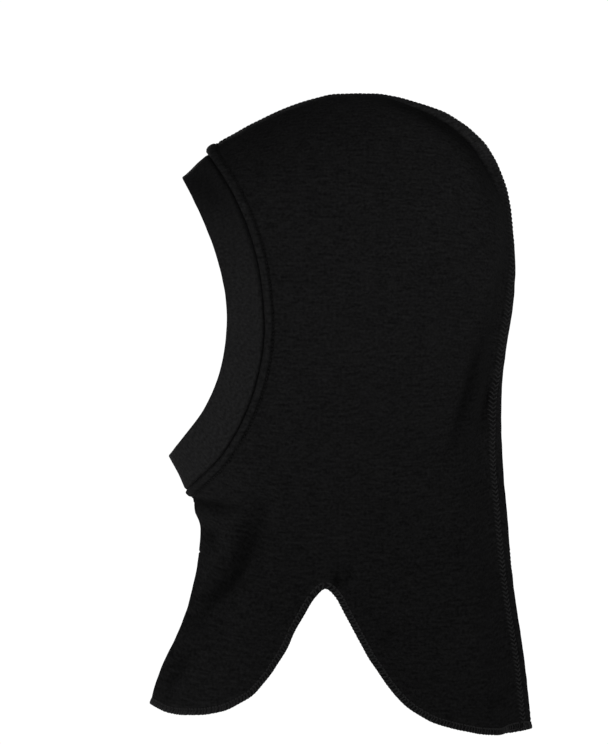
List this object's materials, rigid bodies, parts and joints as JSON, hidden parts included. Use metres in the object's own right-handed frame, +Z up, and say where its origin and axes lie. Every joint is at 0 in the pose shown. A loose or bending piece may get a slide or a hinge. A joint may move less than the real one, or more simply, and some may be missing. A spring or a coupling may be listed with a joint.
{
  "type": "balaclava",
  "caption": "Thin black knitted hood that covers the head, neck and the tops of the shoulders, with a banded opening for the face.",
  "frame": {"origin": "middle of the space for the head, on the plane of symmetry", "axes": "+Z up to the crown, -X out through the face opening, -Y towards the wearer's left"},
  "size_m": [0.211, 0.1418, 0.3521],
  "materials": {
    "knit": "matt fine-gauge black knit",
    "band_knit": "matt black knit, two plies",
    "seam_thread": "black textured polyester thread",
    "label": "plain woven satin tape"
  },
  "bodies": {
    "hood": {"left_hood_panel": "knit", "right_hood_panel": "knit", "face_band": "band_knit", "face_band_join": "seam_thread", "face_seam_allowance": "knit", "face_topstitch": "seam_thread", "crown_seam_cover": "seam_thread", "crown_seam_underlay": "seam_thread", "chin_seam_allowance": "knit", "left_arch_overlock": "seam_thread", "right_arch_overlock": "seam_thread", "care_label": "label"},
    "front_flap": {"left_front_flap": "knit", "right_front_flap": "knit", "front_flap_seam_allowance": "knit", "front_flap_overlock": "seam_thread"},
    "back_flap": {"left_back_flap": "knit", "right_back_flap": "knit", "back_flap_seam_cover": "seam_thread", "back_flap_seam_underlay": "seam_thread", "back_flap_overlock": "seam_thread"}
  },
  "joints": [
    {"name": "front_flap_lift", "type": "hinge", "parent": "hood", "child": "front_flap", "pos_m": [-0.0875, 0, -0.142], "axis": [0, 1, 0], "range_deg": [0, 20], "stiffness_Nm_per_rad": 0.08, "springref_deg": -4.58},
    {"name": "back_flap_lift", "type": "hinge", "parent": "hood", "child": "back_flap", "pos_m": [0.0815, 0, -0.145], "axis": [0, -1, 0], "range_deg": [0, 20], "stiffness_Nm_per_rad": 0.08, "springref_deg": -4.58}
  ]
}
